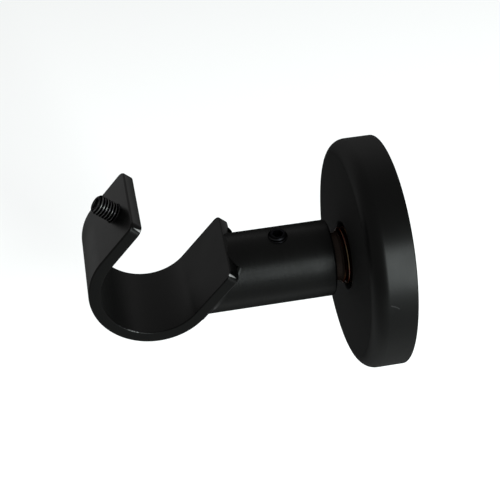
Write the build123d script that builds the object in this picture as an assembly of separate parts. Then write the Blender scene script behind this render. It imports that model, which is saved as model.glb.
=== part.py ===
"""Curtain pole bracket: a bent strip cup on a round stem, carried by a threaded wall post behind a pressed rose.

Frame, in millimetres: the wall is the plane Y = 0 and the stem runs out from it along -Y.
X runs along the pole and +Z is up. The stem's axis is the Y axis.
"""
import os
from math import cos, radians, sin

from build123d import *

# Pole and cup
pole_diameter = 25.0
pole_clearance = 0.5
pole_from_wall = 61.8
pole_below_stem_top = 3.1
strip_thickness = 3.0
strip_width = 25.0
cup_lean = 48.0
front_leg_length = 13.0
rear_leg_length = 14.9
tip_corner_radius = 2.0
strip_edge_break = 0.4

# Stem
stem_diameter = 20.0
stem_wall = 2.5
stem_end_break = 0.6
bore_end_room = 0.5

# Rose
rose_diameter = 60.5
rose_depth = 11.0
rose_sheet = 1.5
rose_edge_radius = 3.9
rose_edge_break = 0.3
rose_hole_clearance = 1.6
rose_to_stem_gap = 4.0

# Wall plate
plate_thickness = 2.5
plate_clearance = 0.3
wall_screw_count = 3
wall_screw_hole_diameter = 5.0
wall_screw_to_edge = 9.45
countersink_diameter = 9.0
countersink_angle = 90.0
first_screw_angle = 90.0

# Wall post
post_clearance = 0.08
post_past_screw = 5.4
post_end_break = 1.0
post_flat_depth = 0.6
post_flat_room = 0.3
tenon_diameter = 9.0
tenon_clearance = 0.05

# Socket-head grub screws
screw_diameter = 5.0
screw_socket_flats = 2.5
screw_socket_depth = 2.2
screw_end_break = 0.5
thread_clearance = 0.05
pole_screw_length = 8.0
pole_screw_from_tip = 5.7
pole_screw_recess = 0.4
stem_screw_length = 4.0
stem_screw_from_stem_end = 13.6
stem_screw_lean = 6.0
stem_screw_seat_gap = 0.05

# Sizes that follow from the ones above
cup_radius = pole_diameter / 2 + pole_clearance
cup_outer_radius = cup_radius + strip_thickness
stem_radius = stem_diameter / 2
pole_above_stem = stem_radius - pole_below_stem_top
bore_radius = stem_radius - stem_wall
post_radius = bore_radius - post_clearance
rose_radius = rose_diameter / 2
rose_hole_radius = post_radius + rose_hole_clearance
plate_radius = rose_radius - rose_sheet - plate_clearance
wall_screw_circle_radius = plate_radius - wall_screw_to_edge
screw_radius = screw_diameter / 2
tapped_radius = screw_radius + thread_clearance
pole_screw_along_leg = front_leg_length - pole_screw_from_tip
stem_end_from_wall = rose_depth + rose_to_stem_gap
stem_screw_from_wall = stem_end_from_wall + stem_screw_from_stem_end
post_from_wall = stem_screw_from_wall + post_past_screw
bore_depth = post_from_wall + bore_end_room - rose_depth
post_flat_length = post_past_screw + rose_to_stem_gap + screw_radius + post_flat_room

# Directions: up along the legs, square to the legs on the wall side, and out of the stem through its screw
along_leg = Vector(0, cos(radians(cup_lean)), sin(radians(cup_lean)))
to_wall_side = Vector(0, sin(radians(cup_lean)), -cos(radians(cup_lean)))
stem_screw_axis = Vector(sin(radians(stem_screw_lean)), 0, cos(radians(stem_screw_lean)))
out_of_wall = Vector(0, -1, 0)
pole_centre = Vector(0, -pole_from_wall, pole_above_stem)

# Two directions count as parallel within this angle, and a point lies on a line within this distance
parallel_angle = 2.5
on_line = 0.01


def cup_point(across, along):
    """A point of the cup's section: across towards the wall side, along up the legs, from the pole's centre."""
    point = pole_centre + to_wall_side * across + along_leg * along
    return (point.Y, point.Z)


def from_wall(distance):
    """A plane square to the stem at a distance from the wall, facing away from it."""
    return Plane(origin=(0, -distance, 0), x_dir=(1, 0, 0), z_dir=out_of_wall)


def are_parallel(one, other):
    """Whether two unit directions run along the same line, either way round."""
    return abs(one.dot(other)) > cos(radians(parallel_angle))


def crosses_thickness(edge):
    """Whether an edge of the strip is a straight line from one of its broad faces to the other."""
    return edge.geom_type == GeomType.LINE and are_parallel(edge % 0.5, to_wall_side)


def is_bend_line(edge):
    """Whether an edge of the strip is the line across its width where a leg runs into the bend."""
    height = (edge @ 0.5 - pole_centre).dot(along_leg)
    return are_parallel(edge % 0.5, Vector(1, 0, 0)) and abs(height) < on_line


def bent_strip():
    """The flat strip bent to a U, with rounded tips and broken edges, before it is drilled."""
    with BuildLine() as outline:
        Line(cup_point(cup_radius, 0), cup_point(cup_radius, rear_leg_length))
        Line(cup_point(cup_radius, rear_leg_length), cup_point(cup_outer_radius, rear_leg_length))
        Line(cup_point(cup_outer_radius, rear_leg_length), cup_point(cup_outer_radius, 0))
        ThreePointArc(
            cup_point(cup_outer_radius, 0),
            cup_point(0, -cup_outer_radius),
            cup_point(-cup_outer_radius, 0),
        )
        Line(cup_point(-cup_outer_radius, 0), cup_point(-cup_outer_radius, front_leg_length))
        Line(cup_point(-cup_outer_radius, front_leg_length), cup_point(-cup_radius, front_leg_length))
        Line(cup_point(-cup_radius, front_leg_length), cup_point(-cup_radius, 0))
        ThreePointArc(cup_point(-cup_radius, 0), cup_point(0, -cup_radius), cup_point(cup_radius, 0))
    section = Plane.YZ * make_face(outline.line)
    strip = extrude(section, amount=strip_width / 2, both=True)
    strip = fillet(strip.edges().filter_by(crosses_thickness), tip_corner_radius)
    rim = [edge for edge in strip.edges() if not crosses_thickness(edge) and not is_bend_line(edge)]
    return chamfer(rim, strip_edge_break)


def pole_screw_place():
    """The plane on the front leg's inner face, at the pole screw's axis, facing out through the leg."""
    seat = pole_centre - to_wall_side * cup_radius + along_leg * pole_screw_along_leg
    return Plane(origin=seat, x_dir=(1, 0, 0), z_dir=to_wall_side * -1)


def stem_screw_place():
    """The plane through the stem's axis at the stem screw, facing out along the screw."""
    return Plane(origin=(0, -stem_screw_from_wall, 0), x_dir=(0, 1, 0), z_dir=stem_screw_axis)


def grub_screw(length):
    """A socket grub screw standing on its point at Z = 0, with its socket end up."""
    body = Cylinder(screw_radius, length, align=(Align.CENTER, Align.CENTER, Align.MIN))
    body = chamfer(body.edges().filter_by(GeomType.CIRCLE), screw_end_break)
    socket = Pos(0, 0, length) * RegularPolygon(screw_socket_flats / 2, 6, major_radius=False)
    return body - extrude(socket, amount=-screw_socket_depth)


def build_pole_cup(strip):
    """The bent strip with the tapped hole for the pole screw in its front leg."""
    hole = Cylinder(tapped_radius, 2 * strip_thickness)
    return strip - pole_screw_place() * Pos(0, 0, strip_thickness / 2) * hole


def build_stem(strip):
    """A turned bar, mitred flush with the cup's inner face, notched round the strip and bored for the post."""
    reach = pole_from_wall + cup_outer_radius - stem_end_from_wall
    bar = extrude(from_wall(stem_end_from_wall) * Circle(stem_radius), amount=reach)
    bar = chamfer(bar.edges().filter_by(GeomType.CIRCLE).sort_by(Axis.Y)[-1], stem_end_break)
    mitre = Plane(origin=pole_centre + to_wall_side * cup_radius, z_dir=to_wall_side)
    bar = split(bar, bisect_by=mitre, keep=Keep.TOP)
    bore = extrude(from_wall(stem_end_from_wall) * Circle(bore_radius), amount=bore_depth)
    screw_hole = Cylinder(tapped_radius, stem_diameter, align=(Align.CENTER, Align.CENTER, Align.MIN))
    return bar - strip - bore - stem_screw_place() * screw_hole


def build_pole_screw():
    """The grub screw in the cup's front leg, backed out as it is before a pole is clamped."""
    return pole_screw_place() * Pos(0, 0, pole_screw_recess) * grub_screw(pole_screw_length)


def build_stem_screw():
    """The grub screw in the top of the stem, down on the post's flat."""
    seat = post_radius - post_flat_depth + stem_screw_seat_gap
    return stem_screw_place() * Pos(0, 0, seat) * grub_screw(stem_screw_length)


def build_rose_cover():
    """The pressed rose: a shallow round cup, open at the wall, with a rounded front edge and a central hole."""
    outer = Rectangle(rose_depth, rose_radius, align=(Align.MAX, Align.MIN))
    outer = fillet(outer.vertices().sort_by(Axis.X)[:2].sort_by(Axis.Y)[-1], rose_edge_radius)
    inner = Rectangle(rose_depth - rose_sheet, rose_radius - rose_sheet, align=(Align.MAX, Align.MIN))
    inner_edge_radius = max(rose_edge_radius - rose_sheet, rose_edge_break)
    inner = fillet(inner.vertices().sort_by(Axis.X)[:2].sort_by(Axis.Y)[-1], inner_edge_radius)
    hole = Rectangle(rose_depth, rose_hole_radius, align=(Align.MAX, Align.MIN))
    rose = revolve(Plane.YZ * (outer - inner - hole), axis=Axis.Y)
    circles = rose.edges().filter_by(GeomType.CIRCLE)
    wall_rim = circles.group_by(Axis.Y)[-1].sort_by(SortBy.RADIUS)[-1]
    hole_rim = circles.group_by(Axis.Y)[0].sort_by(SortBy.RADIUS)[0]
    return chamfer([wall_rim, hole_rim], rose_edge_break)


def build_wall_plate():
    """The round plate that is screwed to the wall inside the rose, countersunk from the front."""
    plate = extrude(from_wall(0) * Circle(plate_radius), amount=plate_thickness)
    screw_hole = CounterSinkHole(
        wall_screw_hole_diameter / 2,
        countersink_diameter / 2,
        plate_thickness,
        countersink_angle,
    )
    circle = PolarLocations(wall_screw_circle_radius, wall_screw_count, first_screw_angle)
    for place in from_wall(plate_thickness) * circle:
        plate -= place * screw_hole
    tenon_hole = Circle(tenon_diameter / 2 + tenon_clearance)
    return plate - extrude(from_wall(0) * tenon_hole, amount=plate_thickness)


def build_wall_post():
    """The post that the stem slides on: a tenon through the plate, a shoulder on it and a flat for the screw."""
    post = extrude(from_wall(plate_thickness) * Circle(post_radius), amount=post_from_wall - plate_thickness)
    post = chamfer(post.edges().filter_by(GeomType.CIRCLE).sort_by(Axis.Y)[0], post_end_break)
    tenon = extrude(from_wall(0) * Circle(tenon_diameter / 2), amount=plate_thickness)
    flat_start = Vector(0, -post_from_wall, 0) + stem_screw_axis * (post_radius - post_flat_depth)
    flat_place = Plane(origin=flat_start, x_dir=(0, 1, 0), z_dir=stem_screw_axis)
    milled_away = Box(
        post_flat_length,
        2 * post_radius,
        2 * post_flat_depth,
        align=(Align.MIN, Align.CENTER, Align.MIN),
    )
    return post + tenon - flat_place * milled_away


def main():
    """Builds every piece and writes one file for each."""
    strip = bent_strip()
    pieces = {
        "pole_cup": build_pole_cup(strip),
        "stem": build_stem(strip),
        "pole_screw": build_pole_screw(),
        "stem_screw": build_stem_screw(),
        "rose_cover": build_rose_cover(),
        "wall_plate": build_wall_plate(),
        "wall_post": build_wall_post(),
    }
    os.makedirs("parts", exist_ok=True)
    for name, piece in pieces.items():
        export_step(piece, f"parts/{name}.step")


main()
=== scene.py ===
"""Curtain pole bracket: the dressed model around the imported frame.

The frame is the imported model's own, in metres: the wall is the plane Y = 0, the stem runs out from it
along -Y, X runs along the pole and +Z is up. Sizes below are in millimetres, and a finished piece is
turned into metres when it is placed.
"""
import logging
import math
from collections.abc import Sequence
from dataclasses import dataclass, field
from enum import Enum
from typing import Any

import bmesh
import bpy
from mathutils import Matrix, Quaternion, Vector


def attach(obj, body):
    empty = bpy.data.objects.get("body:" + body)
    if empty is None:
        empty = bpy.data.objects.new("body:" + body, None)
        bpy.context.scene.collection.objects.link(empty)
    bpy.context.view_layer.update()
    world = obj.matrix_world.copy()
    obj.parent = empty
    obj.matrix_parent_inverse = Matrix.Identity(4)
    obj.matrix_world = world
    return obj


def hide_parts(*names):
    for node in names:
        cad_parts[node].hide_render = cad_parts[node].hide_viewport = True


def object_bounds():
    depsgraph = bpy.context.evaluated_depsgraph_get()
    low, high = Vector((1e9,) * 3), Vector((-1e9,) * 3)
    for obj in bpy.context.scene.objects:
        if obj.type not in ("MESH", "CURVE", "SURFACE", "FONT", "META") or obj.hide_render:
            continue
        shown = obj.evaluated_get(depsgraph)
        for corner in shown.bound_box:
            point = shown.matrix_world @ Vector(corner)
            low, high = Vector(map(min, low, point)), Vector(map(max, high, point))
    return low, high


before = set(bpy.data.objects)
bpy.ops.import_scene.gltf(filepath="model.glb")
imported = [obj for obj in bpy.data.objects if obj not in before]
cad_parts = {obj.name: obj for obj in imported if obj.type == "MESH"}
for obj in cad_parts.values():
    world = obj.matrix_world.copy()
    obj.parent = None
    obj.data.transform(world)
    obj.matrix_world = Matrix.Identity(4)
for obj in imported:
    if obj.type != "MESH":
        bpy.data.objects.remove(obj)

CAD_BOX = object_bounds()
LOG = logging.getLogger("bracket")
MM = 0.001
MERGE_DISTANCE = 0.0005
SHARP_ANGLE = math.radians(32.0)
ALONG_POLE = Vector((1.0, 0.0, 0.0))
HOLE_SEGMENTS = 64
DRILL_SPARE = 0.5
NOISE_MIDDLE = (0.3, 0.7)
PAINTED_GLINT = "painted_glint"
WORKED = "worked"
THREAD_DEPTH = "thread_depth"

Colour = tuple[float, float, float]
Point = tuple[float, float, float]
Span = tuple[float, float]
Section = list[tuple[float, float]]
Mesh = bpy.types.Mesh
Socket = bpy.types.NodeSocket


class Body(Enum):
    """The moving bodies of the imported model."""

    WALL_MOUNT = "wall_mount"
    ARM = "arm"
    POLE_SCREW = "pole_screw"
    STEM_SCREW = "stem_screw"


class Slot(Enum):
    """The record's material slots."""

    BLACK_COAT = "black_coat"
    BLACK_OXIDE = "black_oxide_steel"
    YELLOW_PASSIVATED = "yellow_passivated_steel"


class Grain(Enum):
    """How the surface under a coat was made, which shows through it."""

    SPRAYED = "sprayed"
    TURNED = "turned"


class Joining(Enum):
    """How other meshes are put to a mesh."""

    CUT_AWAY = "DIFFERENCE"
    ADDED = "UNION"


class Tree:
    """Short calls for adding nodes to a node tree and joining them."""

    def __init__(self, tree: bpy.types.NodeTree) -> None:
        """Keeps the tree that the calls add to."""
        self.tree = tree

    def feed(self, node: bpy.types.Node, values: dict[Any, Any]) -> None:
        """Links outputs to a node's inputs, or sets the inputs' own values.

        Args:
            node: The node to feed.
            values: A value or an output socket for each input, by name or number.
        """
        for key, value in values.items():
            if isinstance(value, Socket):
                self.tree.links.new(value, node.inputs[key])
            else:
                node.inputs[key].default_value = value

    def node(self, kind: str, inputs: dict[Any, Any] | None = None, **settings: Any) -> bpy.types.Node:
        """Adds a node.

        Args:
            kind: The node's type name.
            inputs: A value or an output socket for each input, by name or number.
            settings: Properties of the node.

        Returns:
            The new node.
        """
        made = self.tree.nodes.new(kind)
        for name, value in settings.items():
            setattr(made, name, value)
        self.feed(made, inputs or {})
        return made

    def math(self, operation: str, one: Any, other: Any = 0.0) -> Socket:
        """The output of a Math node on two values or sockets."""
        return self.node("ShaderNodeMath", {0: one, 1: other}, operation=operation).outputs[0]

    def vector(self, operation: str, one: Any, other: Any) -> Socket:
        """The output of a Vector Math node on two vectors: a vector, or a number where it gives one."""
        made = self.node("ShaderNodeVectorMath", {0: one, 1: other}, operation=operation)
        return next(output for output in made.outputs if output.enabled)

    def ramp(self, factor: Any, low: Any, high: Any, start: Any = 0.0, end: Any = 1.0) -> Socket:
        """The output of a clamped Map Range node from start..end to low..high."""
        limits = {"Value": factor, "From Min": start, "From Max": end, "To Min": low, "To Max": high}
        return self.node("ShaderNodeMapRange", limits).outputs[0]

    def mix(self, factor: Any, one: Any, other: Any) -> Socket:
        """The output of a colour mix."""
        return self.node("ShaderNodeMix", {0: factor, 6: one, 7: other}, data_type="RGBA").outputs[2]

    def noise(self, place: Socket, size: float, detail: float, roughness: float = 0.5) -> Socket:
        """The output of a Noise node whose patches are about a size in millimetres."""
        inputs = {"Vector": place, "Scale": 1 / (size * MM), "Detail": detail, "Roughness": roughness}
        return self.node("ShaderNodeTexNoise", inputs).outputs["Fac"]

    def attribute(self, name: str) -> Socket:
        """The piece's own attribute of a name, which is 0 where the piece has none."""
        return self.node("ShaderNodeAttribute", attribute_name=name).outputs["Fac"]

    def bump(self, height: Socket) -> Socket:
        """The normal of a surface raised by a height in metres."""
        inputs = {"Strength": 1.0, "Distance": 1.0, "Height": height}
        return self.node("ShaderNodeBump", inputs).outputs["Normal"]

    def join(self, parts: Sequence[Socket]) -> Socket:
        """The output of a Join Geometry node.

        Args:
            parts: The geometries to join, in order.

        Returns:
            The joined geometry.
        """
        made = self.node("GeometryNodeJoinGeometry")
        for part in parts:
            self.tree.links.new(part, made.inputs[0])
        return made.outputs[0]


def rgba(colour: Colour) -> tuple[float, float, float, float]:
    """A colour with full opacity."""
    return (*colour, 1.0)


def new_material(name: str) -> tuple[bpy.types.Material, Tree, bpy.types.Node]:
    """A fresh material.

    Args:
        name: The material's name.

    Returns:
        The material, its tree and its surface shader.
    """
    material = bpy.data.materials.new(name)
    material.use_nodes = True
    return material, Tree(material.node_tree), material.node_tree.nodes["Principled BSDF"]


@dataclass(frozen=True)
class BlackCoat:
    """A satin black coat, fine grained where it was sprayed and finely ringed where it lies on turned bar."""

    name: str
    grain: Grain
    colour: Colour = (0.0005, 0.0005, 0.0005)
    patch_colour: Colour = (0.0009, 0.0009, 0.0008)
    patch_size: float = 9.0
    specular: float = 0.040
    roughness: Span = (0.30, 0.36)
    shallow_roughness: float = 1.0
    shallow_range: Span = (0.62, 1.05)
    worked_range: Span = (0.40, 0.60)
    # Painted highlight: these settings paint glints as bright bare metal wherever a piece's painted_glint
    # attribute is set.
    glint_colour: Colour = (0.26, 0.26, 0.26)
    glint_patch_size: float = 0.5
    glint_unevenness: float = 0.3
    glint_range: Span = (0.45, 0.85)
    least_glint: float = 0.05
    grain_size: float = 0.22
    grain_height: float = 0.004
    ring_pitch: float = 0.45
    ring_stretch: float = 50.0
    groove_pitch: float = 0.10
    groove_height: float = 0.025
    scratch: tuple[Point, ...] = ()
    scratch_width: float = 0.16
    scratch_depth: float = 0.02
    scratch_colour: Colour = (0.012, 0.012, 0.012)

    def material(self) -> bpy.types.Material:
        """Mixes the coat.

        Returns:
            The coat as a material.
        """
        material, tree, shader = new_material(self.name)
        place = tree.node("ShaderNodeTexCoord").outputs["Object"]
        patches = tree.noise(place, self.patch_size, detail=3.0)
        speckle = tree.noise(place, self.grain_size, detail=2.0)
        colour = tree.mix(patches, rgba(self.colour), rgba(self.patch_colour))
        height = tree.math("MULTIPLY", speckle, self.grain_height * MM)
        polish = patches
        if self.grain is Grain.TURNED:
            grooves = self._rings(tree, place, self.groove_pitch)
            height = tree.math("ADD", height, tree.math("MULTIPLY", grooves, self.groove_height * MM))
            rings = self._rings(tree, place, self.ring_pitch)
            polish = tree.math("MULTIPLY", tree.math("ADD", patches, rings), 0.5)
        if self.scratch:
            scratch = self._scratch(tree, place)
            height = tree.math("SUBTRACT", height, tree.math("MULTIPLY", scratch, self.scratch_depth * MM))
            colour = tree.mix(scratch, colour, rgba(self.scratch_colour))
        # Painted highlight: the glints are mixed in as bright metal.
        glint = self._painted_glint(tree, place)
        tree.feed(shader, {
            "Base Color": tree.mix(glint, colour, rgba(self.glint_colour)),
            "Metallic": glint,
            "Roughness": self._matting(tree, polish),
            "Specular IOR Level": self.specular,
            "Normal": tree.bump(height),
        })
        return material

    def _painted_glint(self, tree: Tree, place: Socket) -> Socket:
        """Painted highlight: glints painted as bright bare metal, a little unevenly, where the piece's
        painted_glint attribute is set.

        Args:
            tree: The coat's node tree.
            place: The place on the piece.

        Returns:
            How much painted glint there is, from 0 to 1.
        """
        painted_glint = tree.attribute(PAINTED_GLINT)
        patches = tree.noise(place, self.glint_patch_size, detail=2.0)
        spread = tree.math("MULTIPLY", tree.math("SUBTRACT", patches, 0.5), self.glint_unevenness)
        glinting = tree.ramp(tree.math("ADD", painted_glint, spread), 0.0, 1.0, *self.glint_range)
        return tree.math("MULTIPLY", glinting, tree.math("GREATER_THAN", painted_glint, self.least_glint))

    def _matting(self, tree: Tree, polish: Socket) -> Socket:
        """The coat loses its gloss where it is seen at a shallow angle.

        Where the face under it was worked by bending or drawing, it does so over a range of its own.

        Args:
            tree: The coat's node tree.
            polish: How smooth the surface is, from place to place.

        Returns:
            The roughness.
        """
        face_on = tree.ramp(polish, *self.roughness, *NOISE_MIDDLE)
        facing = tree.node("ShaderNodeLayerWeight", {"Blend": 0.5}).outputs["Facing"]
        worked = tree.attribute(WORKED)
        limits = [tree.ramp(worked, *ends) for ends in zip(self.shallow_range, self.worked_range)]
        shallow = tree.ramp(facing, 0.0, 1.0, *limits)
        rise = tree.math("MULTIPLY", tree.math("SUBTRACT", self.shallow_roughness, face_on), shallow)
        return tree.math("ADD", face_on, rise)

    def _rings(self, tree: Tree, place: Socket, pitch: float) -> Socket:
        """Fine turning rings square to the stem's axis, a little broken up round the bar.

        Args:
            tree: The coat's node tree.
            place: The place on the piece.
            pitch: About how far apart the rings are.

        Returns:
            How high the surface stands, from 0 to 1.
        """
        squeeze = (1 / self.ring_stretch, 1.0, 1 / self.ring_stretch)
        squeezed = tree.node("ShaderNodeMapping", {"Vector": place, "Scale": squeeze}).outputs[0]
        return tree.noise(squeezed, pitch, detail=3.0, roughness=0.6)

    def _scratch(self, tree: Tree, place: Socket) -> Socket:
        """A fine scratch through the coat's scratch points.

        Args:
            tree: The coat's node tree.
            place: The place on the piece.

        Returns:
            1 on the scratch's line, 0 beside it.
        """
        nearest: Any = 1.0
        for start, end in zip(self.scratch, self.scratch[1:]):
            origin, run = Vector(start) * MM, (Vector(end) - Vector(start)) * MM
            arm = tree.vector("SUBTRACT", place, origin)
            share = tree.math("DIVIDE", tree.vector("DOT_PRODUCT", arm, run), run.length_squared)
            along = tree.node("ShaderNodeClamp", {"Value": share}).outputs[0]
            foot = tree.node("ShaderNodeVectorMath", {0: run, "Scale": along}, operation="SCALE").outputs[0]
            nearest = tree.math("MINIMUM", nearest, tree.vector("DISTANCE", arm, foot))
        return tree.ramp(nearest, 1.0, 0.0, 0.0, self.scratch_width * MM)


@dataclass(frozen=True)
class ThreadSteel:
    """Plated or blackened steel whose thread roots are painted darker: painted shade in the roots."""

    name: str
    colour: Colour
    tint: Colour
    root_shade_colour: Colour
    edge_tint: Colour
    roughness: Span = (0.28, 0.42)
    cloud_size: float = 3.0
    cloud_edges: Span = (0.38, 0.62)
    root_reach: float = 0.6
    grain_size: float = 0.15
    grain_height: float = 0.002

    def material(self) -> bpy.types.Material:
        """Mixes the finish.

        Returns:
            The steel as a material.
        """
        material, tree, shader = new_material(self.name)
        place = tree.node("ShaderNodeTexCoord").outputs["Object"]
        clouds = tree.noise(place, self.cloud_size, detail=4.0)
        grain = tree.noise(place, self.grain_size, detail=2.0)
        plated = tree.mix(tree.ramp(clouds, 0.0, 1.0, *self.cloud_edges), rgba(self.colour), rgba(self.tint))
        # Painted shade: the thread's roots are darkened by their depth.
        root_shade = tree.ramp(tree.attribute(THREAD_DEPTH), 0.0, 1.0, 0.0, self.root_reach)
        colour = tree.mix(root_shade, plated, rgba(self.root_shade_colour))
        polish = tree.ramp(clouds, *self.roughness, *NOISE_MIDDLE)
        colour, polish = self._zones(tree, place, colour, polish)
        tree.feed(shader, {
            "Base Color": colour,
            "Metallic": 1.0,
            "Roughness": polish,
            "Specular Tint": rgba(self.edge_tint),
            "Normal": tree.bump(tree.math("MULTIPLY", grain, self.grain_height * MM)),
        })
        return material

    def _zones(self, tree: Tree, place: Socket, colour: Socket, polish: Socket) -> tuple[Socket, Socket]:
        """The colour and roughness as they come, for a finish that has no zones."""
        return colour, polish


@dataclass(frozen=True, kw_only=True)
class PostSteel(ThreadSteel):
    """The post's steel: as plated as the wall plate at its foot, and rougher on its plain shank; its thread
    and shank colours are darker copies of the plating, painted shade of the gap between stem and rose.
    """

    shank_shade_colour: Colour
    plain_from_wall: float
    plain_roughness: float = 0.6
    foot_colour: Colour
    foot_height: float

    def _zones(self, tree: Tree, place: Socket, colour: Socket, polish: Socket) -> tuple[Socket, Socket]:
        """Sets the shank and the foot apart from the thread.

        Args:
            tree: The finish's node tree.
            place: The place on the post.
            colour: The thread's colour.
            polish: The thread's roughness.

        Returns:
            The colour and roughness of the whole post.
        """
        along_post = tree.node("ShaderNodeSeparateXYZ", {0: place}).outputs[1]
        plain = tree.math("LESS_THAN", along_post, -self.plain_from_wall * MM)
        # Painted shade: the plain shank's darker colour.
        colour = tree.mix(plain, colour, rgba(self.shank_shade_colour))
        polish = tree.math("MAXIMUM", polish, tree.math("MULTIPLY", plain, self.plain_roughness))
        foot = tree.math("GREATER_THAN", along_post, -self.foot_height * MM)
        return tree.mix(foot, colour, rgba(self.foot_colour)), polish


SPRAYED_BLACK = BlackCoat("satin_black_sprayed", Grain.SPRAYED)
WELD_BLACK = BlackCoat("satin_black_weld", Grain.SPRAYED, shallow_range=(0.63, 0.76))
TURNED_BLACK = BlackCoat(
    "satin_black_turned", Grain.TURNED, roughness=(0.25, 0.42), shallow_range=(0.38, 0.70), specular=0.043,
)
PRESSED_BLACK = BlackCoat(
    "satin_black_pressed", Grain.SPRAYED, shallow_range=(0.42, 0.72), worked_range=(0.20, 1.10),
    specular=0.046, scratch=((29.68, -6.85, 5.82), (29.78, -5.63, 5.29), (29.88, -4.88, 4.72)),
)
BLACK_OXIDE = ThreadSteel(
    "black_oxide_steel", colour=(0.010, 0.010, 0.010), tint=(0.006, 0.006, 0.007),
    root_shade_colour=(0.001, 0.001, 0.001), edge_tint=(0.25, 0.25, 0.25),
)
# Painted highlight: a lighter copy of the black oxide, which paints glints on the pole screw's thread.
GLINTING_OXIDE = ThreadSteel(
    "black_oxide_steel_painted_glints", colour=(0.064, 0.064, 0.062), tint=(0.028, 0.026, 0.029),
    root_shade_colour=(0.001, 0.001, 0.001), edge_tint=(0.25, 0.25, 0.25), roughness=(0.32, 0.42), cloud_size=1.0,
)
PLATE_STEEL = ThreadSteel(
    "yellow_passivated_steel", colour=(0.27, 0.19, 0.075), tint=(0.25, 0.155, 0.085),
    root_shade_colour=(0.05, 0.03, 0.02), edge_tint=(0.9, 0.75, 0.5), cloud_size=6.0,
)
# Painted shade: the thread's colour and tint are darkened copies of the plate's plating; only the hidden foot
# keeps the plate's colour.
POST_STEEL = PostSteel(
    "yellow_passivated_post", colour=(0.070, 0.052, 0.029), tint=(0.058, 0.016, 0.015),
    root_shade_colour=(0.010, 0.0030, 0.0018), edge_tint=(0.09, 0.06, 0.05), cloud_size=4.0,
    shank_shade_colour=(0.024, 0.0185, 0.0155), plain_from_wall=12.45,
    foot_colour=PLATE_STEEL.colour, foot_height=2.6,
)


def rounded(corners: Sequence[tuple[float, float, float]], steps: int = 6) -> Section:
    """A closed outline with its corners rounded.

    Args:
        corners: Each corner's two coordinates and its rounding radius.
        steps: Straight pieces in each rounded corner.

    Returns:
        The outline's points, in the corners' order.
    """
    points: Section = []
    for index, (u, v, radius) in enumerate(corners):
        corner = Vector((u, v))
        if radius == 0:
            points.append((u, v))
            continue
        before = (Vector(corners[index - 1][:2]) - corner).normalized()
        after = (Vector(corners[(index + 1) % len(corners)][:2]) - corner).normalized()
        half = before.angle(after) / 2
        centre = corner + (before + after).normalized() * (radius / math.sin(half))
        start = corner + before * (radius / math.tan(half)) - centre
        turn = start.angle_signed(corner + after * (radius / math.tan(half)) - centre)
        for step in range(steps + 1):
            arm = start.copy()
            arm.rotate(Matrix.Rotation(-turn * step / steps, 2))
            points.append(tuple(centre + arm))
    return points


def skin(work: bmesh.types.BMesh, loops: Sequence[list[bmesh.types.BMVert]]) -> None:
    """Covers the space between each closed loop of points and the next.

    Args:
        work: The working mesh that holds the points.
        loops: The loops in order, all with the same number of points.
    """
    for loop, after in zip(loops, loops[1:]):
        for index in range(len(loop)):
            beside = (index + 1) % len(loop)
            work.faces.new((loop[index], loop[beside], after[beside], after[index]))


def to_mesh(work: bmesh.types.BMesh, name: str) -> Mesh:
    """Ends a working mesh, with doubles merged and faces turned outwards.

    Args:
        work: The working mesh, which goes.
        name: The new mesh's name.

    Returns:
        The mesh.
    """
    bmesh.ops.remove_doubles(work, verts=work.verts, dist=MERGE_DISTANCE)
    bmesh.ops.recalc_face_normals(work, faces=work.faces)
    mesh = bpy.data.meshes.new(name)
    work.to_mesh(mesh)
    work.free()
    return mesh


def closed(mesh: Mesh, name: str) -> Mesh:
    """A copy of a mesh with its seams merged and its faces turned outwards.

    Args:
        mesh: The mesh to copy.
        name: The new mesh's name.

    Returns:
        The copy.
    """
    work = bmesh.new()
    work.from_mesh(mesh)
    return to_mesh(work, name)


def lathe(name: str, section: Section, segments: int) -> Mesh:
    """Turns a closed section round the stem's axis.

    Args:
        name: The mesh's name.
        section: Points as radius and distance from the wall.
        segments: Straight pieces in a full turn.

    Returns:
        The turned mesh.
    """
    work = bmesh.new()
    rings = []
    for index in range(segments):
        angle = math.tau * index / segments
        across, up = math.cos(angle), math.sin(angle)
        rings.append([work.verts.new((radius * across, -out, radius * up)) for radius, out in section])
    skin(work, rings + rings[:1])
    return to_mesh(work, name)


def rod(name: str, radius: float, start: float, end: float, segments: int) -> Mesh:
    """A plain round rod on the stem's axis, from one distance from the wall to another."""
    return lathe(name, [(0.0, start), (radius, start), (radius, end), (0.0, end)], segments)


def block(name: str, size: float, middle: Vector, place: Matrix) -> Mesh:
    """A cubic block to cut with.

    Args:
        name: The mesh's name.
        size: The length of its sides.
        middle: Where its middle lies in the place's own axes.
        place: The place that it is set in.

    Returns:
        The block's mesh.
    """
    work = bmesh.new()
    bmesh.ops.create_cube(work, size=size)
    bmesh.ops.transform(work, matrix=place @ Matrix.Translation(middle), verts=work.verts)
    return to_mesh(work, name)


def scene_object(name: str, mesh: Mesh) -> bpy.types.Object:
    """A new object in the scene for a mesh.

    Args:
        name: The object's name.
        mesh: Its mesh.

    Returns:
        The object.
    """
    obj = bpy.data.objects.new(name, mesh)
    bpy.context.scene.collection.objects.link(obj)
    return obj


def evaluated_copy(obj: bpy.types.Object, name: str) -> Mesh:
    """The plain mesh that an object's modifiers give.

    Args:
        obj: The object, which goes.
        name: The new mesh's name.

    Returns:
        The mesh.
    """
    depsgraph = bpy.context.evaluated_depsgraph_get()
    mesh = bpy.data.meshes.new_from_object(obj.evaluated_get(depsgraph), depsgraph=depsgraph)
    mesh.name = name
    bpy.data.objects.remove(obj)
    return mesh


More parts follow.
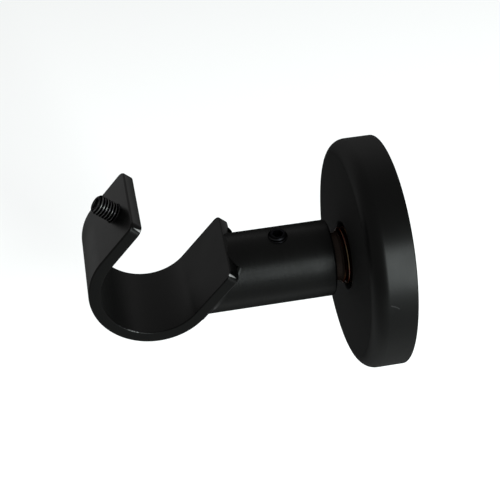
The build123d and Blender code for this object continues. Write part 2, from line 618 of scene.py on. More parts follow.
def combine(mesh: Mesh, others: Sequence[Mesh], joining: Joining) -> Mesh:
    """Cuts other meshes away from a mesh or adds them to it.

    Args:
        mesh: The closed mesh to start from.
        others: Closed meshes in the same place.
        joining: Whether they are cut away or added.

    Returns:
        A new mesh with the result.
    """
    target = scene_object("being_worked", mesh)
    tools = [scene_object("tool", other) for other in others]
    for tool in tools:
        modifier = target.modifiers.new("combine", "BOOLEAN")
        modifier.operation = joining.value
        modifier.solver = "EXACT"
        modifier.object = tool
    result = evaluated_copy(target, mesh.name + "_worked")
    for tool in tools:
        bpy.data.objects.remove(tool)
    return result


def drill(radius: float, depth: float, edge_break: float, place: Matrix) -> Mesh:
    """A cutter for a round hole through a plate, broken at both edges.

    Args:
        radius: The hole's radius.
        depth: The plate's thickness, from the place's origin up its Z axis.
        edge_break: How far the hole's edges are broken.
        place: Where the hole starts and where it points.

    Returns:
        The cutter's mesh.
    """
    spare = edge_break + DRILL_SPARE
    wide = radius + edge_break + spare
    mesh = lathe("drill", [
        (0.0, -spare), (wide, -spare), (radius, edge_break),
        (radius, depth - edge_break), (wide, depth + spare), (0.0, depth + spare),
    ], HOLE_SEGMENTS)
    mesh.transform(place @ Matrix.Rotation(math.pi / -2, 4, "X"))
    return mesh


def look_along(origin: Vector, axis: Vector, across: Vector) -> Matrix:
    """A place whose Z axis runs along an axis and whose X axis runs across it."""
    side = axis.cross(across)
    return Matrix.Translation(origin) @ Matrix((across, side, axis)).transposed().to_4x4()


def present(
    name: str, mesh: Mesh, material: bpy.types.Material, node: str | None, body: Body
) -> None:
    """Places a finished piece in the frame, most often in the stead of a CAD node.

    Args:
        name: The piece's name.
        mesh: Its mesh, in millimetres.
        material: Its finish.
        node: The CAD node that it stands for, if it stands for one.
        body: The body that it rides on.
    """
    mesh.transform(Matrix.Scale(MM, 4))
    mesh.materials.clear()
    mesh.materials.append(material)
    mesh.shade_smooth()
    mesh.set_sharp_from_angle(angle=SHARP_ANGLE)
    obj = scene_object(name, mesh)
    normals = obj.modifiers.new("face_weighted_normals", "WEIGHTED_NORMAL")
    normals.keep_sharp = True
    if node is not None:
        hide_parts(node)
    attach(obj, body.value)
    LOG.info("%s: %d faces on %s", name, len(mesh.polygons), body.value)


@dataclass(frozen=True)
class Thread:
    """A threaded rod made by Geometry Nodes, standing on Z = 0."""

    length: float
    radius: float
    pitch: float
    depth: float
    end_break: float
    socket_flats: float = 0.0
    socket_depth: float = 0.0
    root_share: float = 0.25
    crest_share: float = 0.22
    segments: int = 72
    rows_per_turn: int = 16

    def mesh(self, name: str, material: bpy.types.Material) -> Mesh:
        """The rod as a plain mesh.

        Args:
            name: The mesh's name.
            material: The rod's finish.

        Returns:
            The mesh that the node tree gives.
        """
        values = {
            "Length": self.length, "Radius": self.radius, "Pitch": self.pitch, "Thread Depth": self.depth,
            "Root Share": self.root_share, "Crest Share": self.crest_share, "End Break": self.end_break,
            "Socket Flats": self.socket_flats, "Socket Depth": self.socket_depth,
            "Segments": self.segments, "Rows Per Turn": self.rows_per_turn, "Finish": material,
        }
        group = self._tree(values)
        obj = scene_object(name, bpy.data.meshes.new(name))
        modifier = obj.modifiers.new("thread", "NODES")
        modifier.node_group = group
        for item in group.interface.items_tree:
            if item.in_out == "INPUT":
                modifier[item.identifier] = values[item.name]
        return evaluated_copy(obj, name)

    def _tree(self, values: dict[str, Any]) -> bpy.types.NodeTree:
        """The node tree: a helical wall, a plain point end and a top end that may have a hexagon socket.

        Args:
            values: The tree's inputs by name.

        Returns:
            The new tree.
        """
        group = bpy.data.node_groups.new("threaded_rod", "GeometryNodeTree")
        kinds = {float: "NodeSocketFloat", int: "NodeSocketInt", bpy.types.Material: "NodeSocketMaterial"}
        for name, value in values.items():
            group.interface.new_socket(name, in_out="INPUT", socket_type=kinds[type(value)])
        group.interface.new_socket("Geometry", in_out="OUTPUT", socket_type="NodeSocketGeometry")
        tree = Tree(group)
        sizes = tree.node("NodeGroupInput").outputs
        joined = tree.join([self._wall(tree, sizes), *self._ends(tree, sizes)])
        welded = tree.node("GeometryNodeMergeByDistance", {"Geometry": joined, "Distance": MERGE_DISTANCE})
        real = tree.node("GeometryNodeRealizeInstances", {"Geometry": welded.outputs[0]})
        finish = {"Geometry": real.outputs[0], "Material": sizes["Finish"]}
        dressed = tree.node("GeometryNodeSetMaterial", finish)
        tree.node("NodeGroupOutput", {"Geometry": dressed.outputs[0]})
        return group

    @staticmethod
    def _wall(tree: Tree, sizes: Any) -> Socket:
        """The helical wall: rows that climb one pitch in a turn, drawn in to the thread's form.

        Args:
            tree: The rod's node tree.
            sizes: The tree's inputs.

        Returns:
            The wall's geometry.
        """
        step = tree.math("DIVIDE", sizes["Pitch"], sizes["Rows Per Turn"])
        rows = tree.math("CEIL", tree.math("DIVIDE", tree.math("ADD", sizes["Length"], sizes["Pitch"]), step))
        counts = {
            "Vertices X": tree.math("ADD", sizes["Segments"], 1.0), "Vertices Y": tree.math("ADD", rows, 1.0),
        }
        sheet = tree.node("GeometryNodeMeshGrid", {"Size X": 1.0, "Size Y": 1.0, **counts})
        position = tree.node("GeometryNodeInputPosition").outputs[0]
        place = tree.node("ShaderNodeSeparateXYZ", {0: position}).outputs
        turn = tree.math("ADD", place[0], 0.5)
        row = tree.math("ROUND", tree.math("MULTIPLY", tree.math("ADD", place[1], 0.5), rows))
        climb = tree.math("MULTIPLY", tree.math("SUBTRACT", turn, 1.0), sizes["Pitch"])
        free_height = tree.math("ADD", tree.math("MULTIPLY", row, step), climb)
        limits = {"Value": free_height, "Min": 0.0, "Max": sizes["Length"]}
        height = tree.node("ShaderNodeClamp", limits).outputs[0]
        phase = tree.math("FRACT", tree.math("DIVIDE", row, sizes["Rows Per Turn"]))
        ridge = tree.math("MULTIPLY", tree.math("ABSOLUTE", tree.math("SUBTRACT", phase, 0.5)), 2.0)
        crest = tree.math("SUBTRACT", 1.0, sizes["Crest Share"])
        groove = tree.ramp(ridge, 1.0, 0.0, sizes["Root Share"], crest)
        thread = tree.math("SUBTRACT", sizes["Radius"], tree.math("MULTIPLY", groove, sizes["Thread Depth"]))
        to_end = tree.math("MINIMUM", height, tree.math("SUBTRACT", sizes["Length"], height))
        end_cone = tree.math("ADD", tree.math("SUBTRACT", sizes["Radius"], sizes["End Break"]), to_end)
        angle = tree.math("MULTIPLY", turn, math.tau)
        radius = tree.math("MINIMUM", thread, end_cone)
        across = tree.math("MULTIPLY", radius, tree.math("COSINE", angle))
        side = tree.math("MULTIPLY", radius, tree.math("SINE", angle))
        spot = tree.node("ShaderNodeCombineXYZ", {0: across, 1: side, 2: height}).outputs[0]
        mark = {"Geometry": sheet.outputs["Mesh"], "Name": THREAD_DEPTH, "Value": groove}
        marked = tree.node("GeometryNodeStoreNamedAttribute", mark, data_type="FLOAT", domain="POINT")
        wound = tree.node("GeometryNodeSetPosition", {"Geometry": marked.outputs[0], "Position": spot})
        return wound.outputs[0]

    @staticmethod
    def _ends(tree: Tree, sizes: Any) -> list[Socket]:
        """The two end faces, the top one with the walls and floor of its socket.

        Args:
            tree: The rod's node tree.
            sizes: The tree's inputs.

        Returns:
            The geometry of the point end and of the top end.
        """
        circle = "GeometryNodeCurvePrimitiveCircle"
        rim_radius = tree.math("SUBTRACT", sizes["Radius"], sizes["End Break"])
        rim = tree.node(circle, {"Resolution": sizes["Segments"], "Radius": rim_radius}).outputs[0]
        corner = tree.math("DIVIDE", sizes["Socket Flats"], 2 * math.cos(math.pi / 6))
        hexagon = tree.node(circle, {"Resolution": 6, "Radius": corner}).outputs[0]
        ring = tree.node("GeometryNodeFillCurve", {"Curve": tree.join([rim, hexagon])}, mode="TRIANGLES")
        point = tree.node("GeometryNodeFillCurve", {"Curve": rim}, mode="NGONS")
        sink = tree.math("MULTIPLY", sizes["Socket Depth"], -1.0)
        drop = tree.node("ShaderNodeCombineXYZ", {2: sink}).outputs[0]
        outline = tree.node("GeometryNodeCurveToMesh", {"Curve": hexagon}).outputs[0]
        walls = tree.node("GeometryNodeExtrudeMesh", {"Mesh": outline, "Offset": drop}, mode="EDGES")
        floor = tree.node("GeometryNodeFillCurve", {"Curve": hexagon}, mode="NGONS")
        sunk = tree.node("GeometryNodeTransform", {"Geometry": floor.outputs[0], "Translation": drop})
        upper = tree.join([ring.outputs[0], walls.outputs[0], sunk.outputs[0]])
        top = tree.node("ShaderNodeCombineXYZ", {2: sizes["Length"]}).outputs[0]
        raised = tree.node("GeometryNodeTransform", {"Geometry": upper, "Translation": top})
        return [point.outputs[0], raised.outputs[0]]


@dataclass(frozen=True)
class GrubScrew:
    """An M5 grub screw with a hexagon socket."""

    name: str
    node: str
    body: Body
    steel: ThreadSteel
    length: float
    radius: float = 2.5
    pitch: float = 0.8
    thread_depth: float = 0.47
    end_break: float = 0.5
    socket_flats: float = 2.5
    socket_depth: float = 2.2

    def build(self, place: Matrix) -> None:
        """Makes the screw and puts it in the frame.

        Args:
            place: Where its point end stands and where it points.
        """
        thread = Thread(
            length=self.length, radius=self.radius, pitch=self.pitch, depth=self.thread_depth,
            end_break=self.end_break, socket_flats=self.socket_flats, socket_depth=self.socket_depth,
        )
        steel = self.steel.material()
        screw = closed(thread.mesh(self.node + "_thread", steel), self.node + "_mesh")
        screw.transform(place)
        present(self.name, screw, steel, self.node, self.body)


@dataclass(frozen=True)
class PoleCup:
    """The strip bent to a U that the pole lies in, and its screw."""

    centre: Vector = field(default_factory=lambda: Vector((0.0, -61.8, 6.9)))
    lean: float = math.radians(48.0)
    radius: float = 13.0
    thickness: float = 3.0
    width: float = 25.0
    front_leg: float = 13.0
    rear_leg: float = 14.9
    rear_tip_slant: float = 1.4
    corner_radius: float = 2.0
    inner_edge_radius: float = 0.3
    outer_edge_radius: float = 0.45
    screw: GrubScrew = GrubScrew(
        "pole_grub_screw", "pole_screw", Body.POLE_SCREW, GLINTING_OXIDE, length=8.0, radius=2.45
    )
    screw_from_bend: float = 7.3
    screw_recess: float = 0.4
    tapped_radius: float = 2.55
    tapped_break: float = 0.15
    # Painted highlight: glints on the strip's right side, at the tips' rounded corners and along the bottom
    # of the inner edge.
    corner_glint: float = 1.05
    outward_glint_loss: float = 0.65
    off_corner_glint_loss: float = 2.4
    bottom_glint: float = 0.52
    bottom_glint_loss: float = 1.2
    bottom_share: float = 0.56
    pinch_turn: float = math.radians(70.0)
    leg_pinch: float = 0.6
    bend_steps: int = 96
    corner_steps: int = 8
    edge_steps: int = 4

    @property
    def along(self) -> Vector:
        """Up along the legs."""
        return Vector((0.0, math.cos(self.lean), math.sin(self.lean)))

    @property
    def to_wall(self) -> Vector:
        """Square to the legs, on the wall side."""
        return Vector((0.0, math.sin(self.lean), -math.cos(self.lean)))

    @property
    def outer_radius(self) -> float:
        """The radius of the bend's outside."""
        return self.radius + self.thickness

    @property
    def bend_length(self) -> float:
        """The length of the bend along the middle of the strip."""
        return math.pi * (self.radius + self.thickness / 2)

    @property
    def strip_length(self) -> float:
        """The length of the flat strip before it is bent."""
        return self.front_leg + self.bend_length + self.rear_leg

    def bent(self, run: float, across: float, depth: float) -> Vector:
        """Where a point of the flat strip goes when the strip is bent.

        Args:
            run: Distance along the strip from the front tip.
            across: Distance from the strip's middle line.
            depth: Depth from the face that becomes the inside.

        Returns:
            The point in the frame.
        """
        reach = self.radius + depth
        past_bend = run - self.front_leg - self.bend_length
        if run < self.front_leg:
            out, up = -reach, self.front_leg - run
        elif past_bend > 0:
            slant = self.rear_tip_slant * across / self.width
            out, up = reach, past_bend * (1 - slant / self.rear_leg)
        else:
            turn = math.pi * (run - self.front_leg) / self.bend_length
            out, up = -reach * math.cos(turn), -reach * math.sin(turn)
        return self.centre + ALONG_POLE * across + self.to_wall * out + self.along * up

    def _outline(self) -> list[tuple[float, float, float, float]]:
        """One long side of the flat strip, from tip to tip.

        Returns:
            For each point its run, its half width, and the outward normal's parts along and across.
        """
        radius, half = self.corner_radius, self.width / 2
        corner = []
        for step in range(self.corner_steps + 1):
            angle = math.pi / 2 * step / self.corner_steps
            lead, spread = math.cos(angle), math.sin(angle)
            corner.append((radius - radius * lead, half - radius + radius * spread, lead, spread))
        front = [(run, across, -lead, spread) for run, across, lead, spread in corner]
        bend = [
            (self.front_leg + self.bend_length * step / self.bend_steps, half, 0.0, 1.0)
            for step in range(self.bend_steps + 1)
        ]
        end = self.strip_length
        rear = [(end - run, across, lead, spread) for run, across, lead, spread in reversed(corner)]
        return front + bend + rear

    def _edge(self, radius: float) -> list[Span]:
        """The steps of a rounded edge, from the flat face to the side: inset and depth."""
        angles = [math.pi / 2 * step / self.edge_steps for step in range(self.edge_steps + 1)]
        return [(radius - radius * math.sin(angle), radius - radius * math.cos(angle)) for angle in angles]

    def strip(self, skin_off: float = 0.0) -> Mesh:
        """The bent strip with rounded tips and edges, before it is drilled.

        Args:
            skin_off: How much is taken off all round.

        Returns:
            The strip's mesh.
        """
        side = self._outline()
        layers = [(inset + skin_off, depth + skin_off) for inset, depth in self._edge(self.inner_edge_radius)]
        for inset, depth in reversed(self._edge(self.outer_edge_radius)):
            layers.append((inset + skin_off, self.thickness - depth - skin_off))
        work = bmesh.new()
        # Painted highlight: this layer places the painted glints.
        glint_layer = work.verts.layers.float.new(PAINTED_GLINT)
        loops = []
        for inset, depth in layers:
            right = [(run - inset * lead, half - inset * spread) for run, half, lead, spread in side]
            left = [(run, -half) for run, half in reversed(right)]
            loops.append([work.verts.new(self.bent(run, across, depth)) for run, across in right + left])
        for loop, (_, depth) in zip(loops[1:-1], layers[1:-1]):
            for vert, (run, _, lead, spread) in zip(loop, side):
                vert[glint_layer] = self._glint_at(run, lead, spread, depth)
        skin(work, loops)
        count = len(loops[0])
        for loop in (loops[0], loops[-1]):
            for index in range(len(side) - 1):
                opposite = count - 1 - index
                work.faces.new((loop[index], loop[index + 1], loop[opposite - 1], loop[opposite]))
        return to_mesh(work, "bent_strip")

    def _glint_at(self, run: float, lead: float, spread: float, depth: float) -> float:
        """How much painted glint lies at a point of the strip's right side.

        Args:
            run: Distance along the strip from the front tip.
            lead: The part of the side's outward normal that runs along the strip.
            spread: The part of it that runs across the strip.
            depth: Depth from the face that becomes the inside.

        Returns:
            The painted glint from 0 to 1: most at the tips' rounded corners, and at the bottom of the inner
                edge.
        """
        if lead and spread:
            outwards = depth / (self.thickness - self.outer_edge_radius)
            off_corner = abs(abs(lead) - spread)
            loss = self.outward_glint_loss * outwards ** 4 + self.off_corner_glint_loss * off_corner
            return max(0.0, self.corner_glint - loss)
        if depth >= self.inner_edge_radius:
            return 0.0
        from_bottom = abs(run - self.front_leg - self.bottom_share * self.bend_length) / self.bend_length
        return max(0.0, self.bottom_glint - self.bottom_glint_loss * from_bottom)

    def _mark_pinched(self, mesh: Mesh) -> None:
        """Marks how far bending worked each point: fully inside the bend, not at all outside it.

        Args:
            mesh: The bent strip's mesh.
        """
        layer = mesh.attributes.new(WORKED, "FLOAT", "POINT")
        for vertex, mark in zip(mesh.vertices, layer.data):
            arm = vertex.co - self.centre
            out, down = abs(arm.dot(self.to_wall)), max(0.0, -arm.dot(self.along))
            inside = 1.0 - (math.hypot(out, down) - self.radius) / self.thickness
            bend = min(1.0, math.atan2(down, out) / self.pinch_turn)
            mark.value = inside * (self.leg_pinch + (1.0 - self.leg_pinch) * bend)

    def screw_place(self) -> Matrix:
        """Where the screw's axis leaves the front leg's inner face, pointing out through the leg."""
        seat = self.centre - self.to_wall * self.radius + self.along * self.screw_from_bend
        return look_along(seat, -self.to_wall, ALONG_POLE)

    def build(self) -> None:
        """Makes the drilled cup and its screw, and places them."""
        place = self.screw_place()
        hole = drill(self.tapped_radius, self.thickness, self.tapped_break, place)
        cup = combine(self.strip(), [hole], Joining.CUT_AWAY)
        self._mark_pinched(cup)
        present("bent_cup", cup, SPRAYED_BLACK.material(), "pole_cup", Body.ARM)
        self.screw.build(place @ Matrix.Translation((0.0, 0.0, self.screw_recess)))


@dataclass(frozen=True)
class Stem:
    """The turned bar between the cup and the rose, with its screw."""

    cup: PoleCup
    radius: float = 10.0
    from_wall: float = 15.0
    reach: float = 78.0
    bore_radius: float = 7.5
    bore_depth: float = 23.5
    end_radius: float = 0.6
    mouth_break: float = 0.3
    screw: GrubScrew = GrubScrew("stem_grub_screw", "stem_screw", Body.STEM_SCREW, BLACK_OXIDE, length=4.0)
    screw_from_wall: float = 28.6
    screw_lean: float = math.radians(6.0)
    screw_seat: float = 6.87
    tapped_radius: float = 2.55
    tapping_length: float = 20.0
    mitre_block: float = 100.0
    mitre_sink: float = 0.02
    weld_skin: float = 0.1
    segments: int = 192

    def bar(self) -> Mesh:
        """The turned bar with its blind bore, longer than it is needed at the cup.

        Returns:
            The bar's mesh.
        """
        start, end = self.from_wall, self.from_wall + self.bore_depth
        return lathe("turned_bar", rounded([
            (0.0, end, 0.0), (self.bore_radius, end, 0.0), (self.bore_radius, start, self.mouth_break),
            (self.radius, start, self.end_radius), (self.radius, self.reach, 0.0), (0.0, self.reach, 0.0),
        ]), self.segments)

    def mitre(self) -> Mesh:
        """A block in front of the plane of the cup's inner face, where the bar is cut off almost flush.

        Returns:
            The block's mesh.
        """
        face = self.cup.centre + self.cup.to_wall * (self.cup.radius + self.mitre_sink)
        place = look_along(face, -self.cup.to_wall, ALONG_POLE)
        return block("mitre", self.mitre_block, Vector((0.0, 0.0, self.mitre_block / 2)), place)

    def screw_place(self) -> Matrix:
        """The screw's place on the stem's axis, pointing out along the screw."""
        axis = Vector((math.sin(self.screw_lean), 0.0, math.cos(self.screw_lean)))
        return look_along(Vector((0.0, -self.screw_from_wall, 0.0)), axis, Vector((0.0, 1.0, 0.0)))

    def build(self) -> None:
        """Makes the stem and its screw, and places them."""
        place = self.screw_place()
        hole = rod("tapping", self.tapped_radius, 0.0, self.tapping_length, HOLE_SEGMENTS)
        hole.transform(place @ Matrix.Rotation(math.pi / -2, 4, "X"))
        cutters = [self.mitre(), self.cup.strip(self.weld_skin), hole]
        stem = combine(self.bar(), cutters, Joining.CUT_AWAY)
        present("turned_stem", stem, TURNED_BLACK.material(), "stem", Body.ARM)
        self.screw.build(place @ Matrix.Translation((0.0, 0.0, self.screw_seat)))


@dataclass(frozen=True)
class WeldFillet:
    """A fillet of weld, coated over, down one side of the corner between the stem and the cup's back."""

    name: str
    cup: PoleCup
    stem: Stem
    sign: float
    run_in: float
    sizes: tuple[Span, ...]
    sink: float = 0.5
    edge_gap: float = 0.15
    end_gap: float = math.radians(3.0)
    slope_step: float = 0.001
    steps: int = 64
    section_steps: int = 8

    def _corner(self, angle: float) -> tuple[Vector, Vector, Vector]:
        """A point of the corner line.

        Args:
            angle: The angle round the stem from its top.

        Returns:
            The point and the outward normals of the stem and of the back of the cup there.
        """
        cup, reach = self.cup, self.cup.outer_radius
        from_stem = Vector((math.sin(angle), 0.0, math.cos(angle)))
        up = self.stem.radius * from_stem.z - cup.centre.z
        out = (reach + up * math.cos(cup.lean)) / math.sin(cup.lean)
        from_cup = cup.to_wall
        if out * math.cos(cup.lean) + up * math.sin(cup.lean) < 0.0:
            out = math.sqrt(reach * reach - up * up)
            from_cup = Vector((0.0, out, up)) / reach
        return from_stem * self.stem.radius + Vector((0.0, cup.centre.y + out, 0.0)), from_stem, from_cup

    def _limits(self) -> Span:
        """Where the corner line ends.

        Returns:
            The angles at which it leaves the cup's tip and its underside.
        """
        cup, reach = self.cup, self.cup.outer_radius
        tip = cup.centre + cup.to_wall * reach + cup.along * (cup.rear_leg - cup.outer_edge_radius)
        start = math.acos(tip.z / self.stem.radius) - self.run_in
        return start, math.acos((cup.centre.z - reach) / self.stem.radius) - self.end_gap

    def _size(self, share: float) -> float:
        """The fillet's size.

        Args:
            share: The share of the way from the tip to the underside.

        Returns:
            The size there.
        """
        for (start, first), (end, last) in zip(self.sizes, self.sizes[1:]):
            if share <= end:
                return first + (last - first) * (share - start) / (end - start)
        return self.sizes[-1][1]

    def _section(self, angle: float, share: float) -> list[Vector]:
        """The fillet's section at a point of the corner line, hollow on its open side.

        Args:
            angle: The angle round the stem from its top.
            share: The share of the way from the tip to the underside.

        Returns:
            The section's points, in order.
        """
        point, from_stem, from_cup = self._corner(angle)
        ahead, behind = (self._corner(angle + step)[0] for step in (self.slope_step, -self.slope_step))
        run = (ahead - behind).normalized()
        size = self._size(share)
        on_cup = from_cup.cross(run).normalized()
        on_cup *= math.copysign(size, on_cup.dot(from_stem))
        on_stem = from_stem.cross(run).normalized()
        on_stem *= math.copysign(size, on_stem.dot(from_cup))
        cup_side, stem_side = point + on_cup, point + on_stem
        level = self.stem.radius / math.hypot(stem_side.x, stem_side.z)
        stem_side = Vector((stem_side.x * level, stem_side.y, stem_side.z * level))
        half = self.cup.width / 2 - self.edge_gap
        cup_side.x = max(-half, min(half, cup_side.x))
        curve = []
        for step in range(self.section_steps + 1):
            part = step / self.section_steps
            curve.append(cup_side * (1 - part) ** 2 + point * (2 * part * (1 - part)) + stem_side * part ** 2)
        buried = point - (from_stem + from_cup) * self.sink
        return [cup_side - from_cup * self.sink, *curve, stem_side - from_stem * self.sink, buried]

    def mesh(self) -> Mesh:
        """The fillet, closed at its ends.

        Returns:
            The fillet's mesh.
        """
        start, end = self._limits()
        work = bmesh.new()
        loops = []
        for step in range(self.steps + 1):
            share = step / self.steps
            section = self._section(self.sign * (start + (end - start) * share), share)
            loops.append([work.verts.new(point) for point in section])
        skin(work, loops)
        work.faces.new(loops[0])
        work.faces.new(loops[-1])
        return to_mesh(work, "weld")

    def build(self) -> None:
        """Makes the fillet and places it."""
        present(self.name, self.mesh(), WELD_BLACK.material(), None, Body.ARM)


@dataclass(frozen=True)
class WallMount:
    """The pressed rose, and the threaded post and plate behind it."""

    rose_radius: float = 30.25
    rose_depth: float = 11.0
    rose_sheet: float = 1.5
    rose_edge_radius: float = 3.9
    rose_rim_radius: float = 0.3
    rose_inner_radius: float = 0.1
    rose_hole_radius: float = 9.02
    rose_corner_steps: int = 10
    plate_radius: float = 28.45
    plate_thickness: float = 2.5
    plate_edge_radius: float = 0.3
    screw_circle_radius: float = 19.0
    screw_count: int = 3
    screw_hole_radius: float = 2.5
    countersink_radius: float = 4.5
    cutter_spare: float = 1.0
    post_radius: float = 7.42
    post_from_wall: float = 34.0
    post_thread_end: float = 12.9
    post_pitch: float = 1.25
    post_thread_depth: float = 0.75
    post_thread_break: float = 1.10
    post_neck_radius: float = 6.3
    post_neck_end: float = 18.5
    post_shoulder_radius: float = 0.15
    post_end_break: float = 1.0
    post_flat_depth: float = 0.6
    post_flat_length: float = 12.2
    post_flat_lean: float = math.radians(6.0)
    post_overlap: float = 1.0
    post_segments: int = 144
    tenon_radius: float = 4.5
    tenon_clearance: float = 0.05
    tenon_segments: int = 96
    segments: int = 256

    def rose(self) -> Mesh:
        """The rose: a shallow round cup with a rounded front edge and a hole for the post.

        Returns:
            The rose's mesh, marked where the press drew it.
        """
        inner = self.rose_radius - self.rose_sheet
        front = self.rose_depth - self.rose_sheet
        rose = lathe("rose", rounded([
            (self.rose_radius, 0.0, self.rose_rim_radius),
            (self.rose_radius, self.rose_depth, self.rose_edge_radius),
            (self.rose_hole_radius, self.rose_depth, self.rose_rim_radius),
            (self.rose_hole_radius, front, self.rose_inner_radius),
            (inner, front, self.rose_edge_radius - self.rose_sheet),
            (inner, 0.0, self.rose_inner_radius),
        ], self.rose_corner_steps), self.segments)
        self._mark_drawn(rose)
        return rose

    def _mark_drawn(self, rose: Mesh) -> None:
        """Marks how far the press worked each point: fully down the rose's wall, not at all on its face.

        Args:
            rose: The rose's mesh.
        """
        layer = rose.attributes.new(WORKED, "FLOAT", "POINT")
        flat = self.rose_radius - self.rose_edge_radius
        for vertex, mark in zip(rose.vertices, layer.data):
            mark.value = max(0.0, math.hypot(vertex.co.x, vertex.co.z) - flat) / self.rose_edge_radius

    def plate(self) -> Mesh:
        """The wall plate with its countersunk screw holes, round the post's tenon.

        Returns:
            The plate's mesh.
        """
        hole = self.tenon_radius + self.tenon_clearance
        disc = lathe("plate", rounded([
            (self.plate_radius, 0.0, self.plate_edge_radius),
            (self.plate_radius, self.plate_thickness, self.plate_edge_radius),
            (hole, self.plate_thickness, 0.0),
            (hole, 0.0, 0.0),
        ]), self.segments)
        holes = [self._countersunk_hole(index) for index in range(self.screw_count)]
        return combine(disc, holes, Joining.CUT_AWAY)

    def _countersunk_hole(self, index: int) -> Mesh:
        """The cutter for one of the plate's screw holes.

        Args:
            index: The hole's number, counted round from the top.

        Returns:
            The cutter's mesh.
        """
        front, past = self.plate_thickness, self.plate_thickness + self.cutter_spare
        sink_start = front - (self.countersink_radius - self.screw_hole_radius)
        mesh = lathe("countersink", [
            (0.0, -self.cutter_spare), (self.screw_hole_radius, -self.cutter_spare),
            (self.screw_hole_radius, sink_start), (self.countersink_radius, front),
            (self.countersink_radius, past), (0.0, past),
        ], HOLE_SEGMENTS)
        angle = math.pi / 2 + math.tau * index / self.screw_count
        spot = Vector((math.cos(angle), 0.0, math.sin(angle))) * self.screw_circle_radius
        mesh.transform(Matrix.Translation(spot))
        return mesh

    def post(self, material: bpy.types.Material) -> Mesh:
        """The post: a tenon, a threaded foot, a relief neck, and a smooth shank with a flat for the screw.

        Args:
            material: The post's finish.

        Returns:
            The post's mesh.
        """
        foot = Thread(
            length=self.post_thread_end - self.plate_thickness, radius=self.post_radius,
            pitch=self.post_pitch, depth=self.post_thread_depth, end_break=self.post_thread_break,
            segments=self.post_segments,
        )
        thread = closed(foot.mesh("post_thread", material), "post_foot")
        seat = Vector((0.0, -self.plate_thickness, 0.0))
        thread.transform(look_along(seat, Vector((0.0, -1.0, 0.0)), ALONG_POLE))
        shank_start = self.post_thread_end - self.post_overlap
        shank = lathe("shank", rounded([
            (0.0, shank_start, 0.0),
            (self.post_neck_radius, shank_start, 0.0),
            (self.post_neck_radius, self.post_neck_end, 0.0),
            (self.post_radius, self.post_neck_end, self.post_shoulder_radius),
            (self.post_radius, self.post_from_wall - self.post_end_break, 0.0),
            (self.post_radius - self.post_end_break, self.post_from_wall, 0.0),
            (0.0, self.post_from_wall, 0.0),
        ]), self.post_segments)
        flattened = combine(shank, [self._flat()], Joining.CUT_AWAY)
        tenon_end = self.plate_thickness + self.post_overlap
        tenon = rod("tenon", self.tenon_radius, 0.0, tenon_end, self.tenon_segments)
        return combine(thread, [flattened, tenon], Joining.ADDED)

    def _flat(self) -> Mesh:
        """The cutter for the flat that the stem's screw bears on.

        Returns:
            The cutter's mesh.
        """
        axis = Vector((math.sin(self.post_flat_lean), 0.0, math.cos(self.post_flat_lean)))
        height = self.post_radius - self.post_flat_depth
        corner = Vector((0.0, self.post_flat_length - self.post_from_wall, 0.0)) + axis * height
        place = look_along(corner, axis, Vector((0.0, -1.0, 0.0)))
        return block("flat", 2 * self.post_radius, Vector((self.post_radius, 0.0, self.post_radius)), place)

    def build(self) -> None:
        """Makes the rose, plate and post, and places them."""
        present("rose", self.rose(), PRESSED_BLACK.material(), "rose_cover", Body.WALL_MOUNT)
        plate_steel, post_steel = PLATE_STEEL.material(), POST_STEEL.material()
        body, slot = Body.WALL_MOUNT, Slot.YELLOW_PASSIVATED
        present("back_plate", self.plate(), plate_steel, "wall_plate", body)
        present("threaded_post", self.post(post_steel), post_steel, "wall_post", body)


@dataclass(frozen=True)
class SoftBox:
    """An oblong soft lamp, in metres and watts."""

    name: str
    place: Point
    size: Span
    power: float
    colour: Colour = (1.0, 1.0, 1.0)

    def build(self, target: Vector) -> None:
        """Hangs the lamp and turns it to a target.

        Args:
            target: The point that it shines at.
        """
        light = bpy.data.lights.new(self.name, "AREA")
        light.shape = "RECTANGLE"
        light.size, light.size_y = self.size
        light.energy = self.power
        light.color = self.colour
        obj = bpy.data.objects.new(self.name, light)
        obj.location = self.place
        obj.rotation_mode = "QUATERNION"
        obj.rotation_quaternion = (target - Vector(self.place)).to_track_quat("-Z", "Y")
        bpy.context.scene.collection.objects.link(obj)


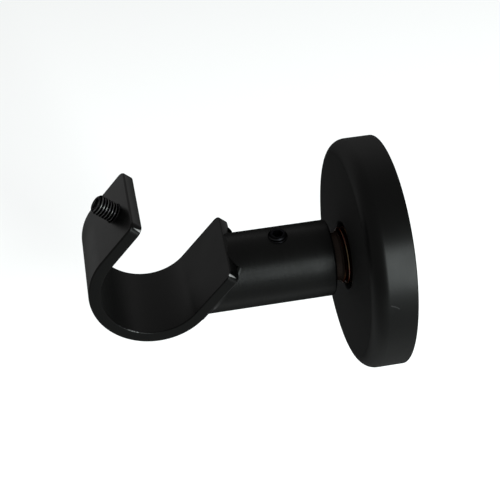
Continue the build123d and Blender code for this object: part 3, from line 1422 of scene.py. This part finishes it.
@dataclass(frozen=True)
class Studio:
    """The pale floor, the soft light, the white surround and the camera, in metres."""

    target: Vector = field(default_factory=lambda: Vector((0.0, -0.03572, 0.00601)))
    distance: float = 0.28976
    azimuth: float = math.radians(81.30)
    elevation: float = math.radians(36.73)
    roll: float = math.radians(-2.98)
    lens: float = 81.41
    sensor_width: float = 36.0
    floor_drop: float = 0.12
    floor_radius: float = 3.0
    floor_segments: int = 96
    floor_colour: Colour = (0.88, 0.88, 0.88)
    floor_roughness: float = 0.9
    surround_colour: Colour = (1.0, 1.0, 1.0)
    ambient: float = 0.80
    lamps: tuple[SoftBox, ...] = (
        SoftBox("window", (0.800, 0.268, 0.240), (0.18, 0.61), 19.0, (0.92, 1.0, 0.985)),
    )

    def build(self) -> None:
        """Sets up the whole stage."""
        bpy.context.scene.view_settings.view_transform = "Standard"
        self._floor()
        self._surround()
        for lamp in self.lamps:
            lamp.build(self.target)
        self._camera()

    def _floor(self) -> None:
        """A plain round floor well below the bracket."""
        work = bmesh.new()
        bmesh.ops.create_circle(work, cap_ends=True, segments=self.floor_segments, radius=self.floor_radius)
        mesh = bpy.data.meshes.new("floor")
        work.to_mesh(mesh)
        work.free()
        material, tree, shader = new_material("floor")
        tree.feed(shader, {
            "Base Color": rgba(self.floor_colour),
            "Roughness": self.floor_roughness,
            "Specular IOR Level": 0.0,
        })
        mesh.materials.append(material)
        floor = scene_object("floor", mesh)
        floor.location.z = CAD_BOX[0].z - self.floor_drop

    def _surround(self) -> None:
        """A world that is white where it is seen or reflected, and lights at a plain level."""
        world = bpy.data.worlds.new("surround")
        world.use_nodes = True
        bpy.context.scene.world = world
        tree = Tree(world.node_tree)
        path = tree.node("ShaderNodeLightPath").outputs
        seen = tree.math("MAXIMUM", path["Is Camera Ray"], path["Is Glossy Ray"])
        seen = tree.math("MAXIMUM", seen, path["Is Transmission Ray"])
        background = world.node_tree.nodes["Background"]
        strength = tree.ramp(seen, self.ambient, 1.0)
        tree.feed(background, {"Color": rgba(self.surround_colour), "Strength": strength})

    def _camera(self) -> None:
        """The camera at the photograph's viewing angle."""
        level = math.cos(self.elevation)
        back = Vector((
            math.sin(self.azimuth) * level, -math.cos(self.azimuth) * level, math.sin(self.elevation)
        ))
        data = bpy.data.cameras.new("camera")
        data.lens = self.lens
        data.sensor_width = self.sensor_width
        camera = bpy.data.objects.new("camera", data)
        camera.location = self.target + back * self.distance
        camera.rotation_mode = "QUATERNION"
        camera.rotation_quaternion = (-back).to_track_quat("-Z", "Y") @ Quaternion((0.0, 0.0, 1.0), self.roll)
        bpy.context.scene.collection.objects.link(camera)
        bpy.context.scene.camera = camera


def main() -> None:
    logging.basicConfig(level=logging.INFO, format="%(name)s: %(message)s")
    cup = PoleCup()
    cup.build()
    stem = Stem(cup)
    stem.build()
    right_sizes = ((0.0, 1.2), (0.3, 2.3), (0.55, 3.6), (1.0, 0.6))
    left_sizes = ((0.0, 0.2), (0.14, 2.8), (0.5, 2.6), (1.0, 0.6))
    WeldFillet("weld_fillet_right", cup, stem, sign=1.0, run_in=0.0, sizes=right_sizes).build()
    WeldFillet("weld_fillet_left", cup, stem, sign=-1.0, run_in=math.radians(9.0), sizes=left_sizes).build()
    WallMount().build()
    Studio().build()
    bpy.context.view_layer.update()


if __name__ == "__main__":
    main()
